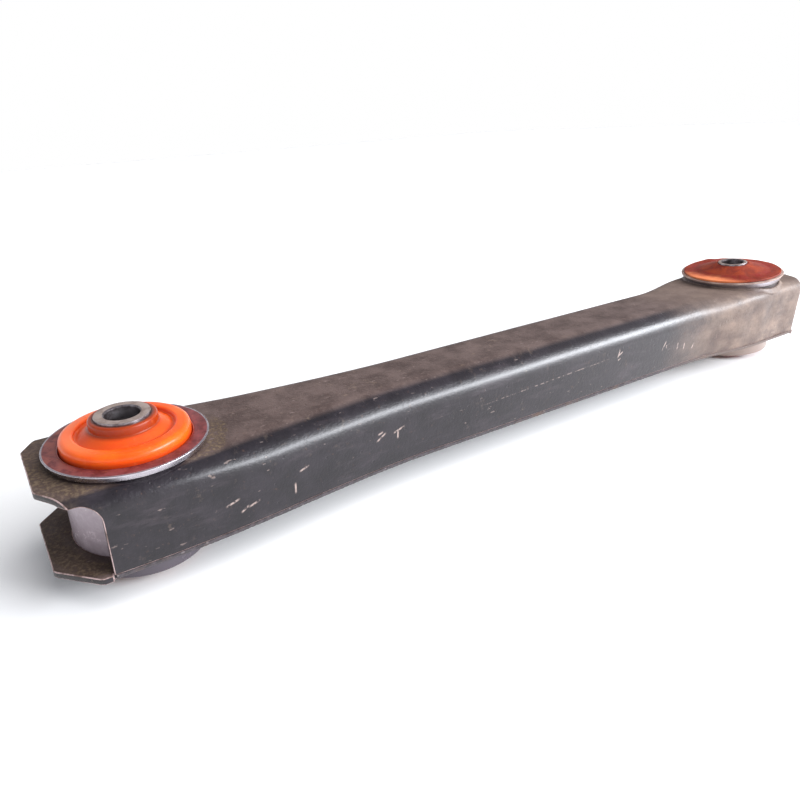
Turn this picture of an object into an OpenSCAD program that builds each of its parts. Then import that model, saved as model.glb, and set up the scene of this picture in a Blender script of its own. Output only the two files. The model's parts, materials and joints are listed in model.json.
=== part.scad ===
// Boxed trailing control arm: two steel pressings welded along their lower
// corners, with a flanged polyurethane bush and a steel sleeve in each eye.
// The arm lies along X with the near bush axis along Z. The origin is on that
// axis, just under the middle of the boxed section.

/* [Arm] */
// Distance between the two bush axes
axis_span = 412; // [340:1:500]
// Height of the boxed section
box_h = 37; // [30:0.5:40]
// Height of the middle of the boxed section above the middle of the bushes
box_lift = 2; // [-1:0.1:3]
// Thickness of the pressed steel sheet
sheet = 2.8; // [2:0.1:3.4]
// Width of the box across its waist
waist_w = 50; // [40:0.5:56]
// Outside radius of the upper bends
bend_r = 9; // [5:0.5:12]
// Length of the taper that follows the near eye
near_taper = 145; // [90:1:170]
// Length of the taper that leads to the far eye
far_taper = 62; // [45:1:90]

/* [Near end] */
// Width of the box at the near eye
near_eye_w = 69; // [65:0.5:76]
// Reach of the webs beyond the near bush axis
near_reach = 39; // [33:0.5:50]
// Where the side walls end, measured from the near bush axis
near_wall_end = 19.5; // [14:0.5:26]
// Straight width of the webs at the near end
near_tip_w = 38; // [26:1:50]

/* [Far end] */
// Width of the box at the far eye
far_eye_w = 62; // [61:0.5:74]
// Reach of the webs beyond the far bush axis
far_reach = 37; // [33:0.5:50]
// Where the side walls end, measured from the far bush axis
far_wall_end = 27; // [14:0.5:28]
// Lean of the far eye towards the near one, in degrees
far_tilt = 5; // [0:0.5:6]
// Straight width of the webs at the far end
far_tip_w = 32; // [26:1:50]

/* [Outer shells] */
// Outside diameter of the near shell tube
near_shell_d = 56; // [46:0.5:57]
// Outside diameter of the far shell tube
far_shell_d = 53; // [46:0.5:53.5]
// Diameter of the near flange
near_flange_d = 66; // [62:0.5:72]
// Diameter of the far flange
far_flange_d = 58; // [56:0.5:66]
// Wall of the shell tubes
shell_wall = 2; // [1.5:0.1:3]
// Height of the near flange's face above the upper web
near_flange_stand = 3.5; // [2.5:0.1:8]
// Height of the far flange's face above the upper web
far_flange_stand = 6; // [2.5:0.1:8]
// Depth of the tubes below the lower web
tube_drop = 8; // [4:0.1:14]
// Thickness of a flange at its rim
rim_t = 1.5; // [1:0.1:2]
// Height of the drawn collar round each lower eye hole
collar_h = 1.6; // [0.8:0.1:2]

/* [Polyurethane bushes] */
// Height of the near bush ring above the flange
ring_h = 4.6; // [2:0.1:7]
// Radial width of the near bush ring
ring_w = 5.9; // [4:0.1:7]
// Wall of the near bush boss round the sleeve
near_boss_wall = 2.45; // [1.5:0.05:4.5]
// Wall of the far bush boss round the sleeve
far_boss_wall = 1.8; // [1.2:0.05:3]
// Height of the near bush boss above the flange
near_boss_h = 9.5; // [8:0.1:14]
// Height of the far bush boss above the flange
far_boss_h = 5.5; // [4:0.1:10]
// Height of the near lower boss below its tube
near_lower_boss_h = 3; // [1:0.1:8]
// Height of the far lower boss below its tube
far_lower_boss_h = 2.1; // [1:0.1:8]
// Depth of the groove inside the near bush ring
groove_depth = 2; // [0.5:0.1:4]
// Height of the cone that rises from the groove to the near boss
cone_h = 3.8; // [1:0.1:5]
// Diameter of the far bush lip
lip_d = 55; // [52:0.5:56]
// Thickness of the far bush lip
lip_t = 1.1; // [0.6:0.1:2]

/* [Sleeves] */
// Outside diameter of the near sleeve
near_sleeve_d = 22.4; // [19:0.1:24]
// Bore of the near sleeve
near_bore_d = 14.2; // [10.2:0.1:16.2]
// Outside diameter of the far sleeve
far_sleeve_d = 16.4; // [15:0.1:22]
// Bore of the far sleeve
far_bore_d = 12.2; // [8.2:0.1:12.6]
// Height of a sleeve end above its bush
sleeve_proud = 1; // [0.5:0.1:3]

/* [Fits] */
// Radial running clearance of a sleeve in its bush
sleeve_gap = 0.05; // [0.02:0.01:0.1]
// Gap between pieces that are pressed or welded together
seat_gap = 0.05; // [0.02:0.01:0.1]
// Gap between the two halves of a bush
half_gap = 0.3; // [0.1:0.1:1]

/* [Hidden] */

$fn = 96;
web_z = box_lift + box_h / 2;
base_z = box_lift - box_h / 2;
foot_z = base_z + sheet;
near_flange_z = web_z + near_flange_stand;
far_flange_z = web_z + far_flange_stand;
tube_low = tube_drop - base_z;
near_boss_z = near_flange_z + near_boss_h;
far_boss_z = far_flange_z + far_boss_h;
near_lower_z = tube_low + near_lower_boss_h;
far_lower_z = tube_low + far_lower_boss_h;
near_shell_r = near_shell_d / 2;
far_shell_r = far_shell_d / 2;
near_bush_r = near_shell_r - shell_wall - seat_gap;
far_bush_r = far_shell_r - shell_wall - seat_gap;
near_bush_bore_r = near_sleeve_d / 2 + sleeve_gap;
far_bush_bore_r = far_sleeve_d / 2 + sleeve_gap;
near_w = near_eye_w / 2;
far_w = far_eye_w / 2;
waist = waist_w / 2;

// Stations along the tapers between the two eyes
taper_steps = 10;
near_taper_x = -6;
far_taper_x = axis_span - 12 - far_taper;
taper_xs = concat(
    [for (i = [0 : taper_steps]) near_taper_x + near_taper * i / taper_steps],
    [for (i = [0 : taper_steps]) far_taper_x + far_taper * i / taper_steps]);

// Smooth rise from 0 to 1
function ease(t) = (1 - cos(180 * min(1, max(0, t)))) / 2;

// Half the outside width of the box at a station
function half_width(x) =
    x < (near_taper_x + near_taper + far_taper_x) / 2
    ? near_w + (waist - near_w) * ease((x - near_taper_x) / near_taper)
    : waist + (far_w - waist) * ease((x - far_taper_x) / far_taper);

// Points of a quarter turn of radii ry and rz about c, from angle a
bend_steps = 5;
function quarter(c, ry, rz, a) =
    [for (i = [0 : bend_steps])
        c + [ry * cos(a + 90 * i / bend_steps), rz * sin(a + 90 * i / bend_steps)]];

// The same points in the opposite order
function turned(points) = [for (i = [len(points) - 1 : -1 : 0]) points[i]];

// Solid swept along X through closed [y, z] sections, one for each station. A
// section runs along one side of its shape and comes back along the other, and
// each end is closed by strips between the two sides
module swept(xs, sections) {
    n = len(sections[0]);
    last = len(xs) - 1;
    points = [for (k = [0 : last]) for (p = sections[k]) [xs[k], p[0], p[1]]];
    sides = [for (k = [0 : last - 1]) for (i = [0 : n - 1])
        let (a = k * n + i, b = k * n + (i + 1) % n)
        each [[a, b, a + n], [b, b + n, a + n]]];
    caps = [for (i = [0 : n / 2 - 2])
        let (a = i, b = i + 1, c = n - 2 - i, d = n - 1 - i, e = last * n)
        each [[a, c, b], [a, d, c], [e + a, e + b, e + c], [e + a, e + c, e + d]]];
    polyhedron(points = points, faces = concat(sides, caps));
}

// Section of the channel: a web on two walls that reach down to foot
function channel_section(w, foot) =
    let (r = min(bend_r, web_z - foot - 0.1), s = r - sheet,
         c = [w - r, web_z - r], d = [r - w, web_z - r])
    concat([[w, foot]], quarter(c, r, r, 0), quarter(d, r, r, 90),
           [[-w, foot], [sheet - w, foot]],
           turned(quarter(d, s, s, 90)), turned(quarter(c, s, s, 0)),
           [[w - sheet, foot]]);

// Half outline of an ear, from its tip to its full width w at the chamfer's end.
// Distances are measured outwards from the bush axis
tip_round = 1.4;
function ear_half(tip_w, reach, chamfer, w) =
    [[reach, tip_w / 2 - tip_round], [reach - tip_round / 2, tip_w / 2 + tip_round / 2],
     [reach - chamfer, w]];

// Sections of one end of the channel, each as [distance, section]. The walls stop
// at wall_end and rise to the ear in a rounded corner of radius corner_r
lip_h = sheet + 0.5;
function end_sections(ear, wall_end, corner_r, w) =
    let (lip_z = web_z - lip_h, foot = foot_z + seat_gap,
         rise = quarter([wall_end + corner_r, lip_z - corner_r], -corner_r, corner_r, 0))
    concat([for (p = ear) [p[0], channel_section(p[1], lip_z)]],
           [for (p = turned(rise)) [p[0], channel_section(w, p[1])]],
           [[wall_end - 0.05, channel_section(w, foot)]]);

// Puts the children at the near eye, or at the far eye with its lean
module at_near() { children(); }
module at_far() { translate([axis_span, 0, 0]) rotate([0, -far_tilt, 0]) children(); }

// Collar drawn round an eye hole, standing on a face at height face_z
module collar(shell_r, face_z) {
    r = shell_r + seat_gap;
    rotate_extrude()
        polygon([[r - 1, face_z - sheet / 2], [r + 3, face_z - sheet / 2],
                 [r + 3, face_z + 0.4], [r + 1.6, face_z + collar_h],
                 [r - 1, face_z + collar_h]]);
}

module eye_hole(shell_r) {
    cylinder(h = 2 * box_h, r = shell_r + seat_gap, center = true);
}

// Upper pressing: web, bends and both side walls
near_chamfer = 10;
far_chamfer = 8;
near_corner_r = 8;
far_corner_r = 4;
module upper_channel() {
    near_ear = ear_half(near_tip_w, near_reach, near_chamfer, near_w);
    far_ear = ear_half(far_tip_w, far_reach, far_chamfer, far_w);
    near_end = end_sections(near_ear, near_wall_end, near_corner_r, near_w);
    far_end = end_sections(far_ear, far_wall_end, far_corner_r, far_w);
    foot = foot_z + seat_gap;
    xs = concat([for (e = near_end) -e[0]], taper_xs,
                turned([for (e = far_end) axis_span + e[0]]));
    sections = concat([for (e = near_end) e[1]],
                      [for (x = taper_xs) channel_section(half_width(x), foot)],
                      turned([for (e = far_end) e[1]]));
    color("dimgray")
    difference() {
        swept(xs, sections);
        at_near() eye_hole(near_shell_r);
        at_far() eye_hole(far_shell_r);
    }
}

// Lower pressing: a plate under the walls, set in to leave room for the welds,
// with a collar drawn downwards round each eye hole
seam_w = 1.6;
lower_near_chamfer = 15;
module lower_plate() {
    near_ear = ear_half(near_tip_w, near_reach, lower_near_chamfer, near_w);
    far_ear = ear_half(far_tip_w, far_reach, far_chamfer, far_w);
    near_step = near_wall_end + 0.5;
    far_step = far_wall_end + 0.5;
    half = concat(
        [for (p = near_ear) [-p[0], p[1]]],
        [[-near_step, near_w], [-near_step, near_w - seam_w]],
        [for (x = taper_xs) [x, half_width(x) - seam_w]],
        [[axis_span + far_step, far_w - seam_w], [axis_span + far_step, far_w]],
        [for (p = turned(far_ear)) [axis_span + p[0], p[1]]]);
    color("dimgray")
    difference() {
        union() {
            translate([0, 0, base_z])
                linear_extrude(sheet)
                    polygon(concat(half, [for (p = turned(half)) [p[0], -p[1]]]));
            at_near() mirror([0, 0, 1]) collar(near_shell_r, -base_z);
            translate([axis_span - base_z * tan(far_tilt), 0, 0])
                mirror([0, 0, 1]) collar(far_shell_r, -base_z);
        }
        at_near() eye_hole(near_shell_r);
        at_far() eye_hole(far_shell_r);
    }
}

// Section of the bead between the edge of the plate and the foot of a wall
bead_rise = 0.3;
function bead_section(w, side) =
    let (c = [side * (w - seam_w + seat_gap), foot_z - seat_gap],
         ry = seam_w - seat_gap, rz = sheet - seat_gap - bead_rise)
    side > 0
    ? concat([c, c - [0, rz / 2]], turned(quarter(c, ry, -rz, 0)))
    : concat([c, c - [ry / 2, 0]], quarter(c, -ry, -rz, 0));

module seam_weld(side) {
    xs = concat([0.5 - near_wall_end], taper_xs, [axis_span + far_wall_end - 0.5]);
    color("slategray")
        swept(xs, [for (x = xs) bead_section(half_width(x), side)]);
}

module front_seam_weld() { seam_weld(-1); }
module back_seam_weld() { seam_weld(1); }

// Outer shell of a bush: a tube with a trumpet flange that stands on the web
mouth_r = 1.6;
module shell(shell_r, flange_r, flange_z, flare_z) {
    bore_r = shell_r - shell_wall;
    flare_h = flange_z - rim_t - flare_z;
    color("silver")
    rotate_extrude()
        polygon(concat(
            [[bore_r, -tube_low], [shell_r - 0.8, -tube_low], [shell_r, 1.6 - tube_low]],
            turned(quarter([flange_r, flare_z], flange_r - shell_r, flare_h, 90)),
            [[flange_r, flange_z - 0.4], [flange_r - 0.4, flange_z]],
            quarter([bore_r + mouth_r, flange_z - mouth_r], mouth_r, mouth_r, 90)));
}

// Upper half of the near bush: a raised ring, a groove, and a cone up to the boss
shoulder_r = 2.4;
module near_bush_upper() {
    ring_z = near_flange_z + ring_h;
    ring_in = near_bush_r - ring_w;
    groove_z = ring_z - groove_depth;
    boss_r = near_bush_bore_r + near_boss_wall;
    color("darkorange")
    rotate_extrude()
        polygon(concat(
            [[near_bush_bore_r, half_gap / 2], [near_bush_r, half_gap / 2]],
            quarter([near_bush_r - shoulder_r, ring_z - shoulder_r],
                    shoulder_r, shoulder_r, 0),
            [[ring_in + 0.8, ring_z], [ring_in, ring_z - 0.8],
             [ring_in, groove_z], [ring_in - 1, groove_z], [boss_r, groove_z + cone_h],
             [boss_r, near_boss_z - 1], [boss_r - 1, near_boss_z],
             [near_bush_bore_r, near_boss_z]]));
}

// Upper half of the far bush: a thin lip rising in a shallow cone to the sleeve
module far_bush_upper() {
    lip_r = lip_d / 2;
    lip_z = far_flange_z + lip_t;
    cone_r = far_bush_r - 4;
    boss_r = far_bush_bore_r + far_boss_wall;
    color("orangered")
    rotate_extrude()
        polygon([[far_bush_bore_r, half_gap / 2], [far_bush_r, half_gap / 2],
                 [far_bush_r, far_flange_z + seat_gap],
                 [lip_r, far_flange_z + seat_gap],
                 [lip_r, lip_z - 0.4], [lip_r - 0.4, lip_z],
                 [cone_r, lip_z], [boss_r, far_boss_z - 0.6],
                 [boss_r - 0.6, far_boss_z], [far_bush_bore_r, far_boss_z]]);
}

// Lower half of a bush: flush with the end of the tube, with a short boss
module bush_lower(bush_r, bore_r, boss_wall, boss_z) {
    boss_r = bore_r + boss_wall;
    mirror([0, 0, 1])
        rotate_extrude()
            polygon([[bore_r, half_gap / 2], [bush_r, half_gap / 2],
                     [bush_r, tube_low - 0.8], [bush_r - 0.8, tube_low],
                     [boss_r, tube_low], [boss_r, boss_z - 0.6],
                     [boss_r - 0.6, boss_z], [bore_r, boss_z]]);
}

module near_upper_bush() { at_near() near_bush_upper(); }
module near_lower_bush() {
    color("darkorange") at_near()
        bush_lower(near_bush_r, near_bush_bore_r, near_boss_wall, near_lower_z);
}
module far_upper_bush() { at_far() far_bush_upper(); }
module far_lower_bush() {
    color("orangered") at_far()
        bush_lower(far_bush_r, far_bush_bore_r, far_boss_wall, far_lower_z);
}

module near_shell() {
    at_near() shell(near_shell_r, near_flange_d / 2, near_flange_z, web_z);
}
module far_shell() {
    clear_z = web_z + far_flange_d / 2 * sin(far_tilt);
    at_far() shell(far_shell_r, far_flange_d / 2, far_flange_z, clear_z);
}

// Inner sleeve standing proud of its upper boss, at boss_z, and of its lower
// boss, at lower_z below, with a countersunk mouth at both ends
mouth_chamfer = 0.6;
module mouth(bore_r, end_z) {
    translate([0, 0, end_z - mouth_chamfer])
        cylinder(h = 2 * mouth_chamfer, r1 = bore_r, r2 = bore_r + 2 * mouth_chamfer);
}

module sleeve(outer_r, bore_r, boss_z, lower_z) {
    top = boss_z + sleeve_proud;
    low = lower_z + sleeve_proud;
    color("lightgray")
    difference() {
        translate([0, 0, -low]) cylinder(h = top + low, r = outer_r);
        translate([0, 0, -low - 1]) cylinder(h = top + low + 2, r = bore_r);
        mouth(bore_r, top);
        mirror([0, 0, 1]) mouth(bore_r, low);
    }
}

module near_sleeve() {
    at_near() sleeve(near_sleeve_d / 2, near_bore_d / 2, near_boss_z, near_lower_z);
}
module far_sleeve() {
    at_far() sleeve(far_sleeve_d / 2, far_bore_d / 2, far_boss_z, far_lower_z);
}

upper_channel();
lower_plate();
front_seam_weld();
back_seam_weld();
near_shell();
near_upper_bush();
near_lower_bush();
near_sleeve();
far_shell();
far_upper_bush();
far_lower_bush();
far_sleeve();
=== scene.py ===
"""Boxed trailing control arm with a flanged polyurethane bush in each eye.

The pressings, beads, shells, bushes and sleeves are modelled in millimetres in
the arm's own frame, X from the near bush to the far one, and Z up through them.
"""

import json
import math
import random

import bmesh
import bpy
from mathutils import Matrix, Vector, noise


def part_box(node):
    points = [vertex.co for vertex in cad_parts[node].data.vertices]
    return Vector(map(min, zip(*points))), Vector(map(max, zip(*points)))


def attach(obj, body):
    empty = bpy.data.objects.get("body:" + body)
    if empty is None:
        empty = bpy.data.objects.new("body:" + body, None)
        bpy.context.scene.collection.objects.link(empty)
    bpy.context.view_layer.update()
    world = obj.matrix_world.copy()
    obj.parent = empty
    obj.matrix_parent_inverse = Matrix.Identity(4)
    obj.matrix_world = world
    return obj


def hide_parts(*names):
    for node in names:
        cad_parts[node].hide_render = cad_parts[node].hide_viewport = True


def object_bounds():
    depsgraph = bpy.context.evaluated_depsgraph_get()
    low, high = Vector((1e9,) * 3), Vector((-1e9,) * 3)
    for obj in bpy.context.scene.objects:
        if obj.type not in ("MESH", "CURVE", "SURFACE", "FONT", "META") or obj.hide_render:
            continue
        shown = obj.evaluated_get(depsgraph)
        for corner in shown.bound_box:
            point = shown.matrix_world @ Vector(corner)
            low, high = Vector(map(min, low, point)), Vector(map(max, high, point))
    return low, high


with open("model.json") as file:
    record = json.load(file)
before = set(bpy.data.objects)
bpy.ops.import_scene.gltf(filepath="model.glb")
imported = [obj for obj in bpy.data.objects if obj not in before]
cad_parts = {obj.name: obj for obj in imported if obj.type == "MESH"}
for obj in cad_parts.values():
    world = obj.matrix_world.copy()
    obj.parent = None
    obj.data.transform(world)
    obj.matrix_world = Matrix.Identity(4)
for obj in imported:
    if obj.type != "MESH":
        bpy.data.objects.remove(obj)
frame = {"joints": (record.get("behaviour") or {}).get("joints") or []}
cad_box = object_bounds()
MM = 0.001


# ---------------------------------------------------------------- sizes
def box_mm(node):
    low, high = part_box(node)
    return low / MM, high / MM


channel_low, channel_high = box_mm("upper_channel")
plate_low, plate_high = box_mm("lower_plate")
near_sleeve_high = box_mm("near_sleeve")[1]
far_sleeve_high = box_mm("far_sleeve")[1]
far_turn = next(j for j in frame["joints"] if j["child"] == "far_sleeve")

AXIS_SPAN = far_turn["pos_m"][0] / MM
FAR_LEAN = -math.atan2(far_turn["axis"][0], far_turn["axis"][2])
NEAR_EYE = Matrix.Identity(4)
FAR_EYE = Matrix.Translation((AXIS_SPAN * MM, 0, 0)) @ Matrix.Rotation(-FAR_LEAN, 4, "Y")
WEB_TOP = channel_high.z
SHEET = 2.8
FIT = 0.05
WALL_FOOT = plate_high.z + FIT
BOX_FLOOR = plate_high.z - SHEET
NEAR_HALF = channel_high.y
FAR_HALF = 31.0
WAIST_HALF = 25.0
END_BEND, WAIST_BEND = 9.0, 14.0
NEAR_TAPER = (-6.0, 139.0)
FAR_TAPER = (AXIS_SPAN - 74.0, AXIS_SPAN - 12.0)
NEAR_WALL_END = -19.5
FAR_WALL_END = AXIS_SPAN + 27.0
NEAR_TIP_HALF, NEAR_SHOULDER_HALF, NEAR_CHAMFER = 18.2, 33.6, 10
FAR_TIP_HALF, FAR_CHAMFER = 15.2, 8
PLATE_INSET = 0.3
EDGE_ROUND = 0.35
SEAM = 1.6
NEAR_TUBE_R, FAR_TUBE_R = 28.0, 26.5
NEAR_FLANGE_R, FAR_FLANGE_R = 33.0, 29.0
NEAR_FLANGE_Z, FAR_FLANGE_Z = WEB_TOP + 3.5, WEB_TOP + 6.0
NEAR_BAND, FAR_BAND = 3.0, 4.4
TUBE_LOW = BOX_FLOOR - 8.0
TUBE_WALL = 2.0
NEAR_SLEEVE_R = near_sleeve_high.y
FAR_SLEEVE_R = far_sleeve_high.y
NEAR_BORE_R, FAR_BORE_R = 7.1, 6.1
SLEEVE_PROUD = 1.0
FAR_LIP_R = 27.5
HALF_SPLIT = 0.15
NEAR_BOSS_Z, FAR_BOSS_Z = NEAR_FLANGE_Z + 9.5, FAR_FLANGE_Z + 5.5
NEAR_LOWER_Z, FAR_LOWER_Z = TUBE_LOW - 3.0, TUBE_LOW - 2.1
RING_STEPS = 192

# Each dent in the front wall: its centre along X and up Z, its size and its depth.
FRONT_DENTS = ((AXIS_SPAN - 3, 6, 6, 1.3), (AXIS_SPAN + 11, 0, 7, 1.0),
               (AXIS_SPAN - 22, 4, 8, 0.8), (66, 2, 11, 0.35))
# Cutting tools end well outside the arm.
OUTSIDE, TOOL_HALF, PUNCH_HALF = 60, 70, 80


# ---------------------------------------------------------------- outlines
def ease(t):
    return (1 - math.cos(math.pi * min(1, max(0, t)))) / 2


def half_width(x):
    """Half the outside width of the box at x."""
    near, far = NEAR_TAPER, FAR_TAPER
    if x < (near[1] + far[0]) / 2:
        return NEAR_HALF + (WAIST_HALF - NEAR_HALF) * ease((x - near[0]) / (near[1] - near[0]))
    return WAIST_HALF + (FAR_HALF - WAIST_HALF) * ease((x - far[0]) / (far[1] - far[0]))


def bend_radius(x):
    """Outside radius of the upper bends at x: tighter at both eyes."""
    length, far_start = 60, AXIS_SPAN - 75
    rise, fall = ease(x / length), ease((x - far_start) / length)
    return END_BEND + (WAIST_BEND - END_BEND) * rise * (1 - fall)


def spread(start, end, count):
    """count places from start towards end, end left out."""
    return [start + (end - start) * i / count for i in range(count)]


def rounded(corners, steps=6):
    """Closed outline through corners (a, b, radius), each turned on its own radius."""
    outline = []
    for i, (a, b, radius) in enumerate(corners):
        corner = Vector((a, b))
        before = Vector(corners[i - 1][:2]) - corner
        after = Vector(corners[(i + 1) % len(corners)][:2]) - corner
        u, v = before.normalized(), after.normalized()
        half = math.acos(max(-1.0, min(1.0, u.dot(v)))) / 2
        if radius <= 0 or half > 1.55:
            outline.append((a, b))
            continue
        back = min(radius / math.tan(half), 0.48 * before.length, 0.48 * after.length)
        radius = back * math.tan(half)
        centre = corner + (u + v).normalized() * radius / math.sin(half)
        start, end = corner + u * back - centre, corner + v * back - centre
        first = math.atan2(start.y, start.x)
        turn = math.atan2(start.cross(end), start.dot(end))
        for k in range(steps + 1):
            angle = first + turn * k / steps
            outline.append((centre.x + radius * math.cos(angle),
                            centre.y + radius * math.sin(angle)))
    return outline


# ---------------------------------------------------------------- meshes
def solid(name, points, faces):
    """Object with outward normals from points in millimetres."""
    mesh = bpy.data.meshes.new(name)
    mesh.from_pydata([Vector(p) * MM for p in points], [], faces)
    shape = bmesh.new()
    shape.from_mesh(mesh)
    bmesh.ops.recalc_face_normals(shape, faces=shape.faces)
    shape.to_mesh(mesh)
    shape.free()
    piece = bpy.data.objects.new(name, mesh)
    bpy.context.scene.collection.objects.link(piece)
    return piece


def settle(piece):
    """Makes what the piece's modifiers give its own mesh."""
    bpy.context.view_layer.update()
    graph = bpy.context.evaluated_depsgraph_get()
    mesh = bpy.data.meshes.new_from_object(piece.evaluated_get(graph))
    piece.modifiers.clear()
    piece.data = mesh


def carve(piece, tool, operation="DIFFERENCE"):
    cut = piece.modifiers.new("carve", "BOOLEAN")
    cut.operation, cut.solver, cut.object = operation, "EXACT", tool
    settle(piece)
    bpy.data.objects.remove(tool)


def break_edges(piece, width, slot=-1, angle=38):
    """Rounds every edge sharper than angle, the new faces taking material slot."""
    bevel = piece.modifiers.new("edges", "BEVEL")
    bevel.width, bevel.segments = width * MM, 2
    bevel.limit_method, bevel.angle_limit = "ANGLE", math.radians(angle)
    bevel.use_clamp_overlap = False
    bevel.material = slot
    settle(piece)


def join(piece, *others):
    shape = bmesh.new()
    shape.from_mesh(piece.data)
    for other in others:
        shape.from_mesh(other.data)
        bpy.data.objects.remove(other)
    shape.to_mesh(piece.data)
    shape.free()


def smooth(piece, angle=34):
    piece.data.shade_smooth()
    piece.data.set_sharp_from_angle(angle=math.radians(angle))


def swept(name, stations, sections):
    """Solid through closed [y, z] sections, one for each station along X."""
    count = len(sections[0])
    points = [(x, y, z) for x, section in zip(stations, sections) for y, z in section]
    faces = [tuple(range(count)), tuple(range(len(points) - count, len(points)))]
    for k in range(len(stations) - 1):
        for i in range(count):
            a, b = k * count + i, k * count + (i + 1) % count
            faces.append((a, b, b + count, a + count))
    return solid(name, points, faces)


def prism(name, outline, low, high, place):
    """Outline drawn between low and high, place(a, b, h) giving each point."""
    count = len(outline)
    points = [place(a, b, h) for h in (low, high) for a, b in outline]
    faces = [tuple(range(count)), tuple(range(count, 2 * count))]
    faces += [(i, (i + 1) % count, count + (i + 1) % count, count + i) for i in range(count)]
    return solid(name, points, faces)


def turned(name, profile, waver=None):
    """Ring solid turned about Z from a closed (radius, z) profile."""
    count = len(profile)
    points = []
    for k in range(RING_STEPS):
        angle = 2 * math.pi * k / RING_STEPS
        for r, z in profile:
            dr, dz = waver(r, z, angle) if waver else (0, 0)
            points.append(((r + dr) * math.cos(angle), (r + dr) * math.sin(angle), z + dz))
    faces = []
    for k in range(RING_STEPS):
        here, ahead = k * count, (k + 1) % RING_STEPS * count
        for i in range(count):
            j = (i + 1) % count
            faces.append((here + i, here + j, ahead + j, ahead + i))
    return solid(name, points, faces)


def roll(piece, shift):
    """Moves each point of the mesh by shift(x, y, z), all in millimetres."""
    for vertex in piece.data.vertices:
        vertex.co += Vector(shift(*(vertex.co / MM))) * MM


def ripple(x, y, z, size, seed=0.0):
    """Smooth noise from -1 to 1 with lumps about size millimetres across."""
    return noise.noise(Vector((x / size + seed, y / size - seed, z / size + 2 * seed)))


# ---------------------------------------------------------------- finishes
def tone(red, green, blue):
    """Colour from its screen values, 0 to 255."""
    def linear(c):
        c /= 255
        return c / 12.92 if c < 0.04045 else ((c + 0.055) / 1.055) ** 2.4
    return (linear(red), linear(green), linear(blue), 1)


class Value:
    """A number that varies over a surface. Arithmetic on it adds Math nodes."""

    def __init__(self, finish, socket):
        self.finish, self.socket = finish, socket

    def math(self, operation, *others):
        parts = [o.socket if isinstance(o, Value) else o for o in (self, *others)]
        made = self.finish.node("ShaderNodeMath", {"operation": operation}, dict(enumerate(parts)))
        return Value(self.finish, made.outputs[0])

    def __add__(self, other):
        return self.math("ADD", other)

    def __sub__(self, other):
        return self.math("SUBTRACT", other)

    def __mul__(self, other):
        return self.math("MULTIPLY", other)

    def __truediv__(self, other):
        return self.math("DIVIDE", other)

    def __rsub__(self, other):
        return self * -1.0 + other

    def __abs__(self):
        return self.math("ABSOLUTE")

    __radd__ = __add__
    __rmul__ = __mul__

    def least(self, other):
        return self.math("MINIMUM", other)

    def most(self, other):
        return self.math("MAXIMUM", other)

    def rise(self, low, high):
        """0 below low, 1 above high, and smooth between them."""
        made = self.finish.node(
            "ShaderNodeMapRange", {"interpolation_type": "SMOOTHSTEP", "clamp": True},
            {"Value": self.socket, "From Min": low, "From Max": high})
        return Value(self.finish, made.outputs[0])

    def band(self, low, high, soft):
        """1 between low and high, falling to 0 within soft outside them."""
        return self.rise(low - soft, low) * (1 - self.rise(high, high + soft))


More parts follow.
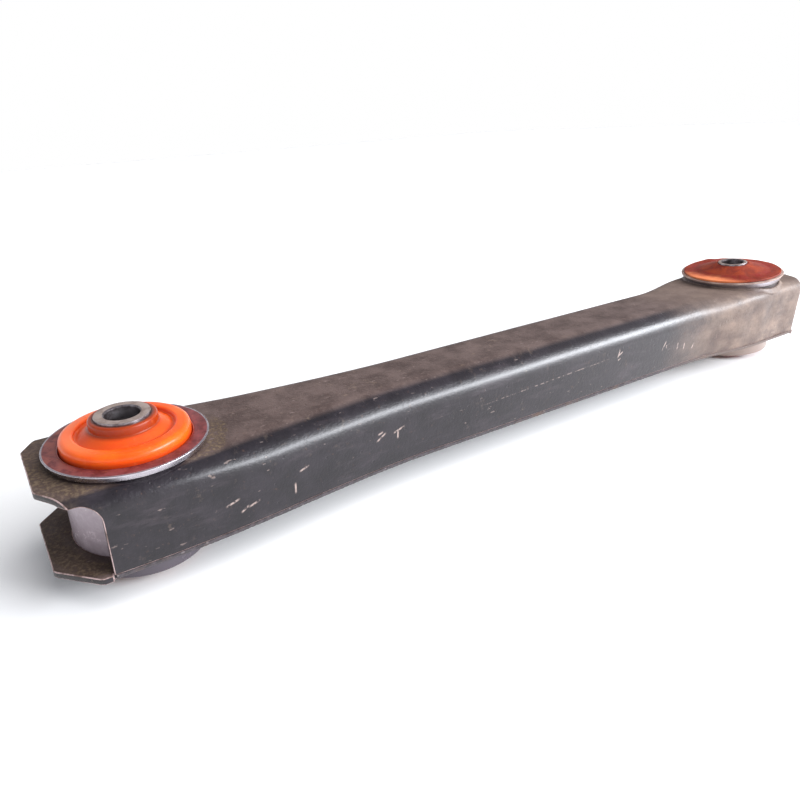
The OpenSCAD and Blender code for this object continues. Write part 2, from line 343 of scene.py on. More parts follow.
class Finish:
    """A material and the nodes of its surface."""

    def __init__(self, name, **fixed):
        self.material = bpy.data.materials.new(name)
        self.material.use_nodes = True
        self.tree = self.material.node_tree
        self.tree.nodes.clear()
        self.shader = self.node("ShaderNodeBsdfPrincipled", {}, fixed)
        out = self.node("ShaderNodeOutputMaterial", {}, {})
        self.tree.links.new(self.shader.outputs[0], out.inputs[0])
        place = self.node("ShaderNodeTexCoord", {}, {}).outputs
        self.spot = self.node("ShaderNodeVectorMath", {"operation": "SCALE"},
                              {0: place["Object"], "Scale": 1 / MM}).outputs[0]
        self.x, self.y, self.z = self.split(self.spot)
        self.facing = self.split(place["Normal"])

    def node(self, kind, settings, sockets):
        """Adds a node: its settings first, then values or links for its sockets."""
        made = self.tree.nodes.new(kind)
        for key, value in settings.items():
            setattr(made, key, value)
        for key, value in sockets.items():
            socket = made.inputs[key]
            if isinstance(value, Value):
                value = value.socket
            if isinstance(value, bpy.types.NodeSocket):
                self.tree.links.new(value, socket)
            else:
                socket.default_value = value
        return made

    def split(self, vector):
        made = self.node("ShaderNodeSeparateXYZ", {}, {0: vector})
        return [Value(self, s) for s in made.outputs]

    def stretched(self, x, y, z):
        return self.node("ShaderNodeVectorMath", {"operation": "MULTIPLY"},
                         {0: self.spot, 1: (x, y, z)}).outputs[0]

    def cloud(self, size, detail=4, rough=0.55, warp=0.0, stretch=(1, 1, 1), shift=0.0):
        """Noise from 0 to 1 with patches about size millimetres across."""
        where = self.stretched(*stretch) if stretch != (1, 1, 1) else self.spot
        if shift:
            where = self.node("ShaderNodeVectorMath", {"operation": "ADD"},
                              {0: where, 1: (shift, shift * 1.7, -shift)}).outputs[0]
        made = self.node("ShaderNodeTexNoise", {},
                         {"Vector": where, "Scale": 1 / size, "Detail": detail,
                          "Roughness": rough, "Distortion": warp})
        return Value(self, made.outputs[0])

    def speckle(self, size, radius):
        """Round spots, about one in each cell of that size, on 1 and off 0."""
        made = self.node("ShaderNodeTexVoronoi", {}, {"Vector": self.spot, "Scale": 1 / size})
        return 1 - Value(self, made.outputs["Distance"]).rise(radius * 0.6, radius)

    def blend(self, factor, first, second):
        made = self.node("ShaderNodeMix", {"data_type": "RGBA"},
                         {0: factor, 6: first, 7: second})
        return made.outputs[2]

    def bump(self, height, depth, under=None):
        """Normal of a relief whose height runs from 0 to 1 over depth millimetres."""
        sockets = {"Height": height, "Distance": depth * MM, "Strength": 1.0}
        if under is not None:
            sockets["Normal"] = under
        return self.node("ShaderNodeBump", {}, sockets).outputs[0]

    def radius(self):
        """Distance from the eye's axis, in millimetres."""
        return (self.x * self.x + self.y * self.y).math("SQRT")

    def at_far_eye(self):
        """Takes x, z and the facing from the far eye's leaning axis."""
        c, s = math.cos(FAR_LEAN), math.sin(FAR_LEAN)
        along = self.x - AXIS_SPAN
        nx, ny, nz = self.facing
        self.x, self.z = along * c + self.z * s, self.z * c - along * s
        self.facing = [nx, ny, nz * c - nx * s]

    def finish(self, **surface):
        names = {"base": "Base Color", "rough": "Roughness", "metal": "Metallic",
                 "coat": "Coat Weight", "normal": "Normal"}
        for key, value in surface.items():
            socket = self.shader.inputs[names[key]]
            if isinstance(value, Value):
                value = value.socket
            self.tree.links.new(value, socket)
        return self.material


def strokes(finish, across, up, places, width):
    """Scratches: 1 on short lines, each (across, up, length, lean in degrees)."""
    total = None
    for a, b, length, lean in places:
        c, s = math.cos(math.radians(lean)), math.sin(math.radians(lean))
        u, v = across - a, up - b
        along, aside = abs(u * c + v * s), abs(v * c - u * s)
        taper = 1 - along.rise(length * 0.2, length * 0.5)
        line = taper * (1 - (aside / width).rise(0.4, 1.0))
        total = line if total is None else total.most(line)
    return total


def pressed_steel():
    """Worn dark paint on pressed steel, a dusty far eye, and painted light: the web painted lighter,
    the slate walls painted darker.
    """
    f = Finish("arm_steel", Metallic=0.0, IOR=1.45)
    f.shader.inputs["Specular IOR Level"].default_value = 0.3
    f.shader.inputs["Coat Roughness"].default_value = 0.26
    ny, nz = f.facing[1:]
    top = nz.rise(0.86, 0.99)
    outward = (ny * f.y.math("SIGN")).most(nz * f.z.math("SIGN"))
    inside = 1 - outward.rise(-0.6, 0.1)
    broad = f.cloud(60, 5, 0.6, 0.2)
    mottle = f.cloud(12, 8, 0.66, 0.1, shift=11.0)
    grain = f.cloud(1.7, 5, 0.6)
    grit = f.cloud(0.7, 3, 0.6, shift=2.0)
    streak = f.cloud(7, 6, 0.66, stretch=(0.22, 1, 1), shift=4.0)
    painted_wall_light = f.x.rise(20, AXIS_SPAN - 90)

    # Painted light: one paint, the web drawn lighter as lit from above and the walls darker as in
    # shade.
    web = f.blend(mottle.rise(0.3, 0.7), tone(70, 56, 53), tone(102, 86, 82))
    web = f.blend((grain * 0.6 + grit * 0.4).rise(0.5, 0.66) * 0.4, web, tone(118, 102, 96))
    web = f.blend(streak.rise(0.58, 0.74) * 0.3, web, tone(116, 101, 95))
    wall = f.blend(mottle.rise(0.35, 0.7), tone(25, 21, 26), tone(38, 33, 39))
    # Painted light: the walls drawn lighter towards the far eye.
    wall = f.blend(painted_wall_light * 0.5, wall, tone(40, 34, 38))
    wall = f.blend(streak.rise(0.52, 0.72) * 0.4, wall, tone(74, 65, 71))
    paint = f.blend(top, wall, web)

    tan = (f.cloud(6, 7, 0.72, 0.2, shift=23.0).rise(0.58, 0.7)
           * broad.rise(0.45, 0.62) * (0.35 + top * 0.65))
    paint = f.blend(tan * 0.5, paint, tone(140, 120, 104))

    caked = f.radius() + mottle * 7.0 - 3.5
    ring = caked.band(33.0, 38.5, 2.0) * top * grain.rise(0.32, 0.55) * (1 - f.y.rise(-6, 12))
    ear = (1 - (f.x + mottle * 12).rise(-24, -14)) * (0.35 + 0.65 * top)
    dirt = (ring + ear * (0.35 + 0.55 * mottle.rise(0.4, 0.65))).least(1.0)
    paint = f.blend(dirt * 0.8, paint, f.blend(grain.rise(0.4, 0.68), tone(70, 56, 48),
                                                tone(114, 97, 78)))

    dust = ((f.x + broad * 46 - 23).rise(300, 376) * (0.72 + 0.28 * streak.rise(0.3, 0.6)))
    beige = f.blend(mottle.rise(0.26, 0.78), tone(94, 79, 74), tone(142, 123, 111))
    beige = f.blend(top * 0.6, beige, tone(104, 88, 80))
    beige = f.blend(f.cloud(4, 6, 0.7, shift=31.0).rise(0.58, 0.7) * 0.5, beige, tone(92, 76, 72))
    paint = f.blend(dust, paint, beige)

    chance = random.Random(7)

    def cluster(count, x, z, wide, tall):
        return [(x + wide * chance.uniform(-1, 1), z + tall * chance.uniform(-1, 1),
                 chance.uniform(2.5, 8.5), chance.choice((15, 30, 62, 75, 88, 100)))
                for i in range(count)]

    marks = cluster(5, 46, 0, 20, 7) + cluster(4, 114, 4, 11, 4)
    marks += cluster(3, 268, 6, 8, 4) + cluster(5, 322, 1, 16, 7)
    front = 1 - f.y.rise(-2, 2)
    scratch = strokes(f, f.x, f.z, marks, 0.6) * (1 - top) * grain.rise(0.34, 0.56) * front
    long_line = (strokes(f, f.x, f.z, [(215, 3, 110, 2.0)], 0.35)
                 * grain.rise(0.45, 0.6) * 0.6 * front)
    flecks = (f.cloud(2.0, 3, 0.5, stretch=(0.35, 1, 1), shift=9.0).rise(0.68, 0.73)
              * broad.rise(0.42, 0.6))
    bare = scratch.most(long_line).most(flecks * 0.4)
    paint = f.blend(bare * 0.7, paint, tone(190, 168, 160))

    rust = f.cloud(3.0, 7, 0.72, 0.2, shift=17.0).rise(0.6, 0.7) * (1 - dust * 0.7)
    paint = f.blend(rust * 0.4, paint, tone(88, 64, 52))
    # Painted shade: the inner faces of the box drawn darker, mottled.
    inner_shade = f.blend(mottle.rise(0.35, 0.65), tone(40, 32, 29), tone(66, 54, 47))
    paint = f.blend(inside, paint, inner_shade)

    pits = f.speckle(5.5, 0.16) * mottle.rise(0.4, 0.6)
    relief = grain * 0.6 + mottle * 0.7 + grit * 0.25 + pits * -0.5 + bare * -0.35
    rough = (0.32 + 0.30 * top + 0.16 * (grain - 0.5) + 0.18 * dust + 0.16 * dirt
             + 0.3 * inside + 0.12 * (mottle - 0.5))
    coat = (1 - top) * (1 - dust * 0.75) * (1 - inside) * (1 - dirt) * 0.5
    return f.finish(base=paint, rough=rough, coat=coat, normal=f.bump(relief, 0.34))


def bare_edge():
    """Cut edge of the sheet, rubbed bright in places and rusty in others."""
    f = Finish("bare_edge", Metallic=0.0)
    worn = f.cloud(5, 5, 0.6)
    fine = f.cloud(0.9, 3, 0.6, shift=3.0)
    base = f.blend(worn.rise(0.36, 0.58), tone(104, 80, 72), tone(204, 178, 176))
    base = f.blend(f.x.rise(-10, 20) * 0.55, base, tone(134, 116, 110))
    return f.finish(base=base, rough=0.34 + fine * 0.3, metal=worn.rise(0.4, 0.6) * 0.5,
                    normal=f.bump(fine, 0.08))


def weld_bead():
    """Scaly bead with a few heat stains, dusty at the far end."""
    f = Finish("weld_bead", Metallic=0.0)
    scale = f.cloud(2.0, 5, 0.65)
    heat = f.cloud(16, 4, 0.5, shift=6.0)
    base = f.blend(scale.rise(0.35, 0.68), tone(50, 45, 50), tone(82, 74, 78))
    base = f.blend(heat.rise(0.56, 0.7) * 0.6, base, tone(98, 74, 58))
    base = f.blend(f.x.rise(300, 376) * 0.8, base, tone(112, 96, 89))
    base = f.blend(f.speckle(3.2, 0.2) * 0.5, base, tone(140, 130, 130))
    return f.finish(base=base, rough=0.45 + scale * 0.25, normal=f.bump(scale, 0.15))


def shell_steel(name, top, band, flange_r, tube_r, greasy):
    """Turned steel, polished under the flange, with grease or dust on its face."""
    f = Finish(name)
    if not greasy:
        f.at_far_eye()
    nz = f.facing[2]
    r = f.radius()
    face = nz.rise(0.75, 0.95)
    turning = f.cloud(0.5, 3, 0.6, stretch=(0.08, 0.08, 3.2))
    film = f.cloud(5, 6, 0.66, 0.2)
    fine = f.cloud(1.2, 4, 0.6, shift=8.0)
    under = f.z.rise(top - band - 0.2, top - band + 0.2)
    low = 1 - f.z.rise(BOX_FLOOR - 1.5, BOX_FLOOR)
    tube = f.blend(film.rise(0.35, 0.65), tone(168, 154, 162), tone(186, 172, 180))
    # Painted shade: the tube between the web and the flange drawn dark, as under the flange.
    tube = f.blend(f.z.rise(WEB_TOP - 2, WEB_TOP), tube, tone(58, 46, 44))
    tube = f.blend(low, tube, tone(84, 77, 85) if greasy else tone(150, 132, 124))
    bright = f.blend(turning.rise(0.35, 0.7), tone(184, 178, 186), tone(220, 214, 220))
    base = f.blend(under, tube, bright)
    rim = (r - (flange_r - 0.9)).rise(0.0, 0.5)
    if greasy:
        grease = f.blend(film.rise(0.35, 0.62), tone(84, 26, 28), tone(122, 58, 60))
        grease = f.blend(fine.rise(0.58, 0.7) * 0.45, grease, tone(158, 92, 70))
        # Painted shadow: a dark red band at the flange's inner edge, where the ring meets it.
        grease = f.blend((1 - (r - (tube_r - 1.6)).rise(0.0, 1.6)) * 0.8, grease, tone(92, 12, 10))
        left = 1 - (f.x - f.y * 0.5 + film * 12).rise(-20, 2)
        grease = f.blend(left * film.rise(0.4, 0.6) * 0.8, grease, tone(132, 70, 58))
        cover = face * (1 - rim * film.rise(0.3, 0.45))
        base = f.blend(cover, base, grease)
        rough = 0.2 + cover * 0.16 + film * 0.12
    else:
        dust = f.blend(film.rise(0.35, 0.65), tone(138, 106, 92), tone(184, 158, 142))
        cover = face.most(rim * f.z.rise(top - 1.2, top - 0.7)) * 0.85
        base = f.blend(cover, base, dust)
        rough = 0.26 + cover * 0.34 + film * 0.12
    metal = (1 - cover) * (0.1 + 0.9 * under) * (1 - low)
    return f.finish(base=base, rough=rough, metal=metal,
                    normal=f.bump(turning * 0.5 + film * 0.5 + fine * 0.3, 0.05))


def near_polyurethane():
    """Glossy, slightly clear orange with a thin film of grease, and painted sheen and shade."""
    f = Finish("near_polyurethane", Metallic=0.0, IOR=1.5)
    set_soft(f, 0.22, (0.006, 0.0016, 0.0004), 0.9)
    r = f.radius()
    nz = f.facing[2]
    film = f.cloud(11, 4, 0.5, 0.2)
    fine = f.cloud(1.4, 4, 0.6, shift=5.0)
    swirl = f.cloud(3.0, 4, 0.6, 0.4, shift=13.0)
    base = f.blend(film.rise(0.35, 0.7), tone(244, 84, 0), tone(250, 98, 6))
    # Painted sheen: the ring's top drawn lighter on its left side.
    painted_sheen = nz.rise(0.6, 0.95) * (1 - (f.x - f.y * 0.4 + film * 8).rise(-22, 6)) * r.rise(17, 20)
    base = f.blend(painted_sheen * 0.5, base, tone(255, 134, 86))
    # Painted shade: the boss drawn darker.
    boss = 1 - r.rise(13.8, 15.6)
    base = f.blend(boss * 0.9, base, tone(134, 42, 2))
    # Painted shade: the groove drawn darker.
    groove = r.band(14.8, 19.6, 0.8)
    base = f.blend(groove * 0.5, base, tone(186, 62, 10))
    # Painted shadow: a dark red line at the ring's base against the flange.
    seat_shadow = (1 - f.z.rise(NEAR_FLANGE_Z, NEAR_FLANGE_Z + 1.6)) * r.rise(24.5, 25.6)
    base = f.blend(seat_shadow * 0.6, base, tone(160, 34, 12))
    # Painted shade: a dark ring in the gap between the boss and the sleeve.
    sleeve_gap_shade = (1 - r.rise(11.7, 12.6)) * f.z.rise(NEAR_BOSS_Z - 1.2, NEAR_BOSS_Z - 0.4)
    base = f.blend(sleeve_gap_shade * 0.85, base, tone(84, 44, 34))
    base = f.blend(swirl.rise(0.62, 0.78) * 0.18, base, tone(255, 160, 108))
    # Painted shade: the bush drawn dark below the tube, under the arm.
    base = f.blend((1 - f.z.rise(TUBE_LOW, TUBE_LOW + 3)) * 0.9, base,
                   f.blend(film.rise(0.4, 0.6), tone(62, 34, 26), tone(118, 56, 32)))
    return f.finish(base=base, rough=0.24 + fine * 0.16 + groove * 0.05,
                    normal=f.bump(fine * 0.35 + film * 0.8, 0.14))


def far_polyurethane():
    """Dusty red-orange with grime caked in a ring round the cone."""
    f = Finish("far_polyurethane", Metallic=0.0, IOR=1.5)
    set_soft(f, 0.05, (0.004, 0.0012, 0.0004), 0.9)
    f.at_far_eye()
    r = f.radius()
    patch = f.cloud(6.5, 6, 0.66, 0.3)
    fine = f.cloud(1.3, 5, 0.65, shift=5.0)
    base = f.blend(patch.rise(0.35, 0.65), tone(114, 26, 0), tone(148, 50, 4))
    red = (r + patch * 5 - 2.5).band(19.5, 24.0, 2.0) * patch.rise(0.42, 0.56)
    base = f.blend(red * 0.85, base, tone(122, 14, 4))
    left = (1 - (f.x + patch * 8).rise(-24, -12)) * r.rise(16, 22)
    base = f.blend(left, base, tone(240, 140, 90))
    base = f.blend(fine.rise(0.6, 0.72) * 0.3, base, tone(168, 82, 38))
    return f.finish(base=base, rough=0.46 + fine * 0.2 + patch * 0.1,
                    normal=f.bump(fine * 0.4 + patch, 0.35))


def set_soft(f, weight, reach, scale):
    """Lets light into the material, as far as reach in metres for each colour."""
    inputs = f.shader.inputs
    inputs["Subsurface Weight"].default_value = weight
    inputs["Subsurface Radius"].default_value = reach
    inputs["Subsurface Scale"].default_value = scale


def sleeve_steel():
    """Machined tube: matt sawn ends, a smooth oiled bore."""
    f = Finish("sleeve_steel")
    nz = abs(f.facing[2])
    end = nz.rise(0.8, 0.97)
    rings = f.cloud(0.35, 2, 0.5, stretch=(1, 1, 0.3))
    film = f.cloud(4, 5, 0.6, 0.2)
    oil = f.cloud(7, 4, 0.6, shift=7.0)
    face = f.blend(film.rise(0.35, 0.65), tone(136, 118, 110), tone(168, 152, 144))
    side = f.blend(oil.rise(0.4, 0.66), tone(110, 100, 102), tone(186, 180, 184))
    base = f.blend(end, side, face)
    base = f.blend(f.cloud(1.2, 4, 0.6, shift=2.0).rise(0.66, 0.74) * 0.5, base, tone(110, 88, 74))
    return f.finish(base=base, rough=0.26 + end * 0.3 + film * 0.12, metal=0.9 - end * 0.55,
                    normal=f.bump(rings * 0.6 + film * 0.4, 0.04))


# ---------------------------------------------------------------- pressings
def channel_section(w, foot, bend):
    """Closed [y, z] section of the channel, with enough points to take dents."""
    inner = bend - SHEET
    wall_steps, web_steps, bend_steps = 8, 18, 14

    def corner(side, radius, turn_in):
        angles = [math.pi / 2 * i / bend_steps for i in range(bend_steps + 1)]
        if turn_in:
            angles.reverse()
        return [(side * (w - bend + radius * math.cos(a)), WEB_TOP - bend + radius * math.sin(a))
                for a in angles]

    up = spread(foot, WEB_TOP - bend, wall_steps)
    down = spread(WEB_TOP - bend, foot, wall_steps)[1:] + [foot]
    back = spread(w - bend, bend - w, web_steps)[1:]
    forward = spread(bend - w, w - bend, web_steps)[1:]
    outline = [(w, z) for z in up] + corner(1, bend, False)
    outline += [(y, WEB_TOP) for y in back] + corner(-1, bend, True)
    outline += [(-w, z) for z in down]
    outline += [(SHEET - w, z) for z in up] + corner(-1, inner, False)
    outline += [(y, WEB_TOP - SHEET) for y in forward] + corner(1, inner, True)
    outline += [(w - SHEET, z) for z in down]
    return outline


def dented(x, y, z):
    """How far the sheet is off its drawn shape: slow waves and a few dents."""
    depth = 0.16 * ripple(x, y, z, 46, 1.3) + 0.07 * ripple(x, y, z, 17, 4.1)
    for cx, cz, size, deep in FRONT_DENTS if y <= 0 else ():
        off = math.hypot((x - cx) / size, (z - cz) / (2.2 * size))
        depth -= deep * math.exp(-off * off)
    inward = min(1.0, max(0.0, abs(y) / half_width(x) - 0.55) * 2.4)
    side = math.copysign(1, y) * inward
    lift = 0.12 * ripple(x, y, 0, 38, 7.7) * (1 - inward)
    return (0, side * (depth - 0.22), lift - 0.1)


def upright(a, b, h):
    """Place of a point in a plan drawn along Z."""
    return a, b, h


def cut_eyes(piece):
    """Holes in a web for both shells, with a little room round them."""
    steps = 144
    for eye, tube_r in ((NEAR_EYE, NEAR_TUBE_R), (FAR_EYE, FAR_TUBE_R)):
        hole_r = tube_r + 0.1
        ring = [(hole_r * math.cos(a), hole_r * math.sin(a))
                for a in (2 * math.pi * k / steps for k in range(steps))]
        tool = prism("tool", ring, -PUNCH_HALF, PUNCH_HALF, upright)
        tool.matrix_world = eye
        carve(piece, tool)


def drawn_collar(piece, centre_x, tube_r, face_z, way, rise):
    """Draws a lip out of a web round its eye, up for way 1 and down for -1."""
    r = tube_r + 0.2
    profile = rounded([(r, face_z - way * 2.4, 0), (r, face_z + way * (rise - 0.1), 0.4),
                       (r + 1.0, face_z + way * rise, 0.5), (r + 1.8, face_z + way * 0.1, 0.8),
                       (r + 2.6, face_z - way * 0.1, 0), (r + 2.6, face_z - way * 0.6, 0)], 5)
    ring = turned("ring", profile)

    def drape(x, y, z):
        """Lets an upper lip follow the bends on both sides of its eye."""
        bend = bend_radius(x + centre_x)
        over = abs(y) - (half_width(x + centre_x) - bend) if way > 0 else 0
        drop = bend - math.sqrt(bend * bend - over * over) if over > 0 else 0
        return (centre_x, 0, -drop)

    roll(ring, drape)
    join(piece, ring)


def draw_collars(piece, face_z, way):
    drawn_collar(piece, 0, NEAR_TUBE_R, face_z, way, 0.4)
    drawn_collar(piece, AXIS_SPAN - face_z * math.tan(FAR_LEAN), FAR_TUBE_R, face_z, way, 0.8)


def coat(piece, paint, edge):
    """Both materials of a pressing, its broken cut edges taking the second one."""
    piece.data.materials.clear()
    piece.data.materials.append(paint)
    piece.data.materials.append(edge)
    break_edges(piece, EDGE_ROUND, slot=1)


def make_upper_pressing(paint, edge):
    beyond = 44
    stations = spread(-beyond, NEAR_TAPER[0], 12) + spread(*NEAR_TAPER, 40)
    stations += spread(NEAR_TAPER[1], FAR_TAPER[0], 36) + spread(*FAR_TAPER, 24)
    stations += spread(FAR_TAPER[1], AXIS_SPAN + beyond, 14) + [AXIS_SPAN + beyond]
    piece = swept("upper_pressing", stations,
                  [channel_section(half_width(x), WALL_FOOT, bend_radius(x)) for x in stations])
    roll(piece, dented)
    near_tip, far_tip = channel_low.x + FIT, channel_high.x - FIT
    lip = WEB_TOP - SHEET - 0.6
    side_view = rounded([(near_tip, OUTSIDE, 0), (near_tip, lip, 0), (NEAR_WALL_END, lip, 8),
                         (NEAR_WALL_END, -OUTSIDE, 0), (FAR_WALL_END, -OUTSIDE, 0),
                         (FAR_WALL_END, lip, 4), (far_tip, lip, 0), (far_tip, OUTSIDE, 0)], 10)
    carve(piece, prism("tool", side_view, -TOOL_HALF, TOOL_HALF, lambda a, b, h: (a, h, b)),
          "INTERSECT")
    near_ear, far_ear = near_tip + NEAR_CHAMFER, far_tip - FAR_CHAMFER
    half = [(near_tip, NEAR_TIP_HALF, 2.5), (near_ear, NEAR_SHOULDER_HALF, 2.5),
            (near_ear, OUTSIDE, 0), (far_ear, OUTSIDE, 0),
            (far_ear, FAR_HALF - 1.0, 2), (far_tip, FAR_TIP_HALF, 2)]
    plan = rounded(half + [(x, -y, radius) for x, y, radius in reversed(half)], 6)
    carve(piece, prism("tool", plan, -TOOL_HALF, TOOL_HALF, upright), "INTERSECT")
    cut_eyes(piece)
    coat(piece, paint, edge)
    draw_collars(piece, WEB_TOP, 1)
    smooth(piece)
    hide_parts("upper_channel")
    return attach(piece, "arm")


def make_lower_pressing(paint, edge):
    near_tip, far_tip = plate_low.x + FIT, plate_high.x - FIT
    start, end = NEAR_WALL_END - 0.5, FAR_WALL_END + 0.5
    near_side, far_side = NEAR_HALF - PLATE_INSET, FAR_HALF - PLATE_INSET
    half = [(near_tip, 18.4), (near_tip + 0.9, 19.9), (near_tip + 14, NEAR_HALF - 1.2),
            (near_tip + 15.6, near_side), (start, near_side)]
    half += [(x, half_width(x) - SEAM) for x in spread(start, end, 110) + [end]]
    half += [(end, far_side), (far_tip - 8.4, far_side),
             (far_tip - 7.6, FAR_HALF - 1.2), (far_tip - 0.9, 16.6), (far_tip, FAR_TIP_HALF)]
    outline = half + [(x, -y) for x, y in reversed(half)]
    piece = prism("lower_pressing", outline, BOX_FLOOR + FIT, plate_high.z, upright)
    cut_eyes(piece)
    coat(piece, paint, edge)
    draw_collars(piece, BOX_FLOOR, -1)
    smooth(piece)
    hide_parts("lower_plate")
    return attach(piece, "arm")


def make_seam(name, side, node, paint):
    """Bead of overlapping ripples along a lower corner."""
    start, end = NEAR_WALL_END + 0.6, FAR_WALL_END - 0.6
    ripple_pitch, arc_steps = 2.3, 8
    stations = spread(start, end, 560) + [end]
    top = plate_high.z - FIT
    sections = []
    for x in stations:
        w = half_width(x) - SEAM + 0.06
        lap = (x / ripple_pitch + 0.25 * noise.noise(Vector((x / 9, side, 0)))) % 1.0
        swell = 0.14 * math.sqrt(1 - lap) - 0.1 + 0.06 * noise.noise(Vector((x / 5, 3 * side, 1)))
        across, down = SEAM - 0.12 + swell, SHEET - 0.45 + 1.3 * swell
        arc = [(side * (w + across * math.cos(a)), top - down * math.sin(a))
               for a in (math.pi / 2 * i / arc_steps for i in range(arc_steps + 1))]
        sections.append([(side * w, top)] + arc)
    piece = swept(name, stations, sections)
    piece.data.materials.append(paint)
    smooth(piece, 60)
    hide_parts(node)
    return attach(piece, "arm")


# ---------------------------------------------------------------- eyes
def ring_piece(name, node, body, profile, eye, paint, waver=None):
    """Turned piece in its eye, with the eye's lean in the mesh itself."""
    piece = turned(name, profile, waver)
    piece.data.materials.append(paint)
    smooth(piece, 40)
    piece.data.transform(eye)
    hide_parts(node)
    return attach(piece, body)


def shell_profile(tube_r, flange_r, top, band, inset):
    """Tube with a flange whose turned edge is band tall and drawn in by inset."""
    bore = tube_r - TUBE_WALL
    neck = top - band
    return rounded([(bore, TUBE_LOW, 0.4), (tube_r, TUBE_LOW, 1.2), (tube_r, neck, 0.3),
                    (flange_r - inset, neck + 0.25, 0.5), (flange_r - 0.15, top - 0.9, 0.5),
                    (flange_r, top - 0.5, 0.2), (flange_r, top - FIT, 0.3),
                    (bore + 0.6, top - FIT, 1.2), (bore, top - 1.6, 1.0)], 6)


def near_bush_profile():
    """Round ring at the rim, a groove inside it, and a sloping boss at the sleeve."""
    r = NEAR_TUBE_R - TUBE_WALL - FIT
    ring = NEAR_FLANGE_Z + 4.6
    inner, floor = r - 5.9, ring - 2.2
    bore = NEAR_SLEEVE_R + FIT
    return rounded([(bore, HALF_SPLIT, 0), (r, HALF_SPLIT, 0.3), (r, ring - 0.15, 2.6),
                    (inner, ring, 1.3), (inner - 0.4, floor, 1.0),
                    (bore + 2.5, floor + 3.6, 0.7), (bore + 2.4, NEAR_BOSS_Z, 0.9),
                    (bore, NEAR_BOSS_Z, 0.25)], 9)


def far_bush_profile():
    """Thin lip over the flange under a shallow cone."""
    r = FAR_TUBE_R - TUBE_WALL - FIT
    top, boss = FAR_FLANGE_Z, FAR_BOSS_Z
    bore = FAR_SLEEVE_R + FIT
    return rounded([(bore, HALF_SPLIT, 0), (r, HALF_SPLIT, 0.3), (r, top + 0.06, 0),
                    (FAR_LIP_R, top + 0.06, 0.3), (FAR_LIP_R, top + 1.05, 0.5),
                    (r - 3.4, top + 1.2, 6.0), (bore + 2.0, boss - 0.4, 2.5),
                    (bore + 1.2, boss, 0.4), (bore, boss, 0.2)], 8)


def lower_bush_profile(tube_r, sleeve_r, boss_wall, boss_z):
    r, bore = tube_r - TUBE_WALL - FIT, sleeve_r + FIT
    return rounded([(bore, -HALF_SPLIT, 0), (r, -HALF_SPLIT, 0.3), (r, TUBE_LOW, 1.0),
                    (bore + boss_wall, TUBE_LOW, 1.2), (bore + boss_wall, boss_z, 0.8),
                    (bore, boss_z, 0.2)], 6)


def cast(seed, face, deep, sleeve_r):
    """Small outward unevenness of a cast bush, on its open faces beyond z = face only."""
    def waver(r, z, angle):
        if (z - face) * face < 0 or r < sleeve_r + 0.5:
            return 0, 0
        lump = ripple(r * math.cos(angle), r * math.sin(angle), z, 7.0, seed)
        return 0, math.copysign(deep * (lump - 0.6), face)
    return waver


def worn_far(r, z, angle):
    """The far bush is scuffed, with a torn lump at its back edge."""
    lump_at, lump_r, lump_height = math.radians(62), 24.5, 1.5
    dr, dz = cast(3.1, FAR_FLANGE_Z + 0.3, 0.28, FAR_SLEEVE_R)(r, z, angle)
    turn = (angle - lump_at + math.pi) % (2 * math.pi) - math.pi
    lump = math.exp(-(turn / 0.16) ** 2 - ((r - lump_r) / 2.4) ** 2)
    return dr, dz + (lump_height * lump if z > FAR_FLANGE_Z else 0)


def sleeve_profile(outer, bore, top, low):
    """Tube standing proud of its bush at both ends, chamfered into the bore."""
    chamfer = 0.6
    top, low = top + SLEEVE_PROUD - 0.03, low - SLEEVE_PROUD + 0.03
    return rounded([(outer, low, 0.3), (outer, top, 0.3), (bore + chamfer, top, 0.15),
                    (bore, top - chamfer, 0.15), (bore, low + chamfer, 0.15),
                    (bore + chamfer, low, 0.15)], 4)


arm_steel, cut_edge, bead = pressed_steel(), bare_edge(), weld_bead()
near_urethane, far_urethane, sleeve_metal = near_polyurethane(), far_polyurethane(), sleeve_steel()
near_steel = shell_steel("near_shell_steel", NEAR_FLANGE_Z, NEAR_BAND, NEAR_FLANGE_R,
                         NEAR_TUBE_R, True)
far_steel = shell_steel("far_shell_steel", FAR_FLANGE_Z, FAR_BAND, FAR_FLANGE_R,
                        FAR_TUBE_R, False)

make_upper_pressing(arm_steel, cut_edge)
make_lower_pressing(arm_steel, cut_edge)
make_seam("front_bead", -1, "front_seam_weld", bead)
make_seam("back_bead", 1, "back_seam_weld", bead)

ring_piece("near_flanged_shell", "near_shell", "arm",
           shell_profile(NEAR_TUBE_R, NEAR_FLANGE_R, NEAR_FLANGE_Z, NEAR_BAND, 0.8),
           NEAR_EYE, near_steel)
ring_piece("far_flanged_shell", "far_shell", "arm",
           shell_profile(FAR_TUBE_R, FAR_FLANGE_R, FAR_FLANGE_Z, FAR_BAND, 1.9),
           FAR_EYE, far_steel)
ring_piece("near_top_bush", "near_upper_bush", "arm",
           near_bush_profile(), NEAR_EYE, near_urethane, cast(1.7, NEAR_FLANGE_Z, 0.08, NEAR_SLEEVE_R))
ring_piece("near_bottom_bush", "near_lower_bush", "arm",
           lower_bush_profile(NEAR_TUBE_R, NEAR_SLEEVE_R, 2.4, NEAR_LOWER_Z), NEAR_EYE, near_urethane,
           cast(4.3, TUBE_LOW + 1, 0.08, NEAR_SLEEVE_R))
ring_piece("far_top_bush", "far_upper_bush", "arm",
           far_bush_profile(), FAR_EYE, far_urethane, worn_far)
ring_piece("far_bottom_bush", "far_lower_bush", "arm",
           lower_bush_profile(FAR_TUBE_R, FAR_SLEEVE_R, 1.8, FAR_LOWER_Z), FAR_EYE, far_urethane,
           cast(5.9, TUBE_LOW + 1, 0.1, FAR_SLEEVE_R))
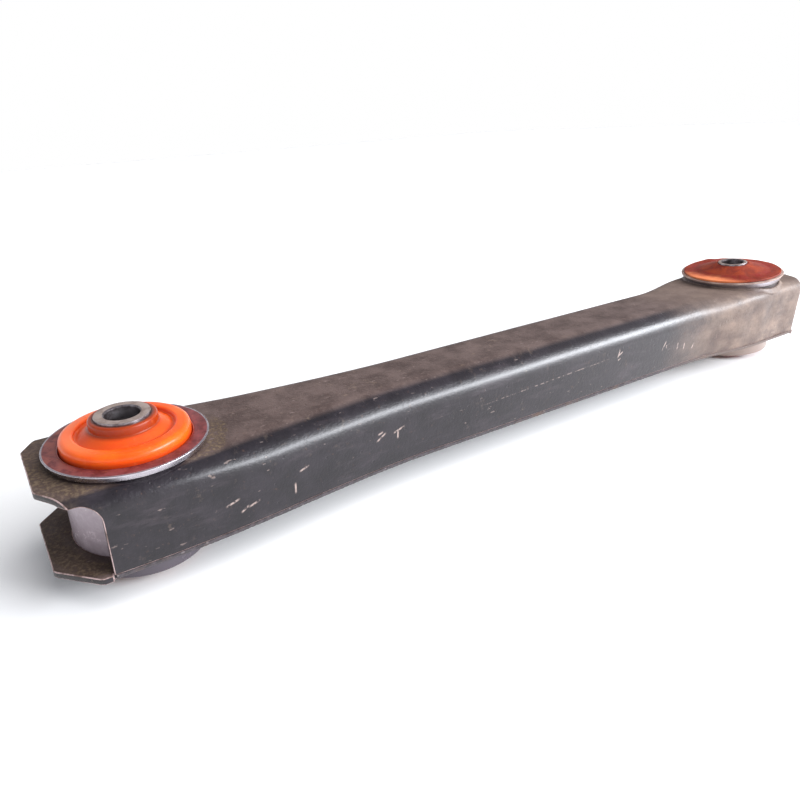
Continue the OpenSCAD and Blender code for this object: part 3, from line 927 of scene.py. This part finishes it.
ring_piece("near_bolt_sleeve", "near_sleeve", "near_sleeve",
           sleeve_profile(NEAR_SLEEVE_R, NEAR_BORE_R, NEAR_BOSS_Z, NEAR_LOWER_Z),
           NEAR_EYE, sleeve_metal)
ring_piece("far_bolt_sleeve", "far_sleeve", "far_sleeve",
           sleeve_profile(FAR_SLEEVE_R, FAR_BORE_R, FAR_BOSS_Z, FAR_LOWER_Z),
           FAR_EYE, sleeve_metal)


# ---------------------------------------------------------------- surroundings
def make_floor():
    """Matt white floor, size metres across, under the arm's lowest point."""
    size, count = 9.0, 8
    points = [(size * (i / count - 0.5) / MM, size * (j / count - 0.5) / MM, cad_box[0].z / MM)
              for i in range(count + 1) for j in range(count + 1)]
    faces = [(i * (count + 1) + j, (i + 1) * (count + 1) + j,
              (i + 1) * (count + 1) + j + 1, i * (count + 1) + j + 1)
             for i in range(count) for j in range(count)]
    floor = solid("floor", points, faces)
    f = Finish("pale_floor", Metallic=0.0)
    f.shader.inputs["Specular IOR Level"].default_value = 0.2
    soft = f.cloud(400, 2, 0.5)
    floor.data.materials.append(
        f.finish(base=f.blend(soft, (0.94, 0.94, 0.94, 1), (0.96, 0.96, 0.96, 1)),
                 rough=0.8 + soft * 0.1))


def softbox(name, place, aim, width, height, power, colour):
    light = bpy.data.lights.new(name, "AREA")
    light.shape, light.size, light.size_y = "RECTANGLE", width, height
    light.energy, light.color = power, colour
    lamp = bpy.data.objects.new(name, light)
    lamp.location = place
    lamp.rotation_mode = "QUATERNION"
    lamp.rotation_quaternion = (Vector(aim) - Vector(place)).to_track_quat("-Z", "Y")
    bpy.context.scene.collection.objects.link(lamp)


def make_camera():
    view = bpy.data.cameras.new("camera")
    view.sensor_width, view.lens = 36.0, 28.796
    view.shift_x, view.shift_y = 0.1133, 0.0009
    view.clip_start, view.clip_end = 0.01, 50
    camera = bpy.data.objects.new("camera", view)
    ahead = Vector((0.426029, 0.813066, -0.396766))
    down = Vector((-0.242092, -0.320110, -0.915926))
    right = down.cross(ahead)
    turn = Matrix((right, -down, -ahead)).transposed()
    camera.matrix_world = Matrix.Translation((-0.041944, -0.239870, 0.134335)) @ turn.to_4x4()
    bpy.context.scene.collection.objects.link(camera)
    bpy.context.scene.camera = camera


def soft_sun(name, ahead, strength, spread_angle):
    """Wide soft sun that leaves no highlight of its own."""
    light = bpy.data.lights.new(name, "SUN")
    light.energy, light.angle = strength, math.radians(spread_angle)
    lamp = bpy.data.objects.new(name, light)
    lamp.rotation_mode = "QUATERNION"
    lamp.rotation_quaternion = Vector(ahead).to_track_quat("-Z", "Y")
    lamp.visible_glossy = False
    bpy.context.scene.collection.objects.link(lamp)


def make_room():
    """World that is white round the horizon and dimmer overhead."""
    world = bpy.data.worlds.new("room")
    world.use_nodes = True
    tree = world.node_tree
    place = tree.nodes.new("ShaderNodeTexCoord")
    split = tree.nodes.new("ShaderNodeSeparateXYZ")
    ramp = tree.nodes.new("ShaderNodeValToRGB")
    tree.links.new(place.outputs["Generated"], split.inputs[0])
    tree.links.new(split.outputs["Z"], ramp.inputs[0])
    stops = ramp.color_ramp.elements
    stops[0].position, stops[0].color = 0.16, (1, 1, 1, 1)
    stops[1].position, stops[1].color = 0.34, (0.36, 0.37, 0.4, 1)
    tree.links.new(ramp.outputs[0], tree.nodes["Background"].inputs["Color"])
    return world


make_floor()
middle = (AXIS_SPAN * MM / 2, 0, 0)
soft_sun("daylight", (-0.55, 0.3, -0.8), 2.7, 70)
softbox("window", (1.14, -0.97, 0.54), middle, 1.2, 0.24, 30, (0.92, 0.95, 1))

bpy.context.scene.world = make_room()
bpy.context.scene.view_settings.view_transform = "Standard"
make_camera()
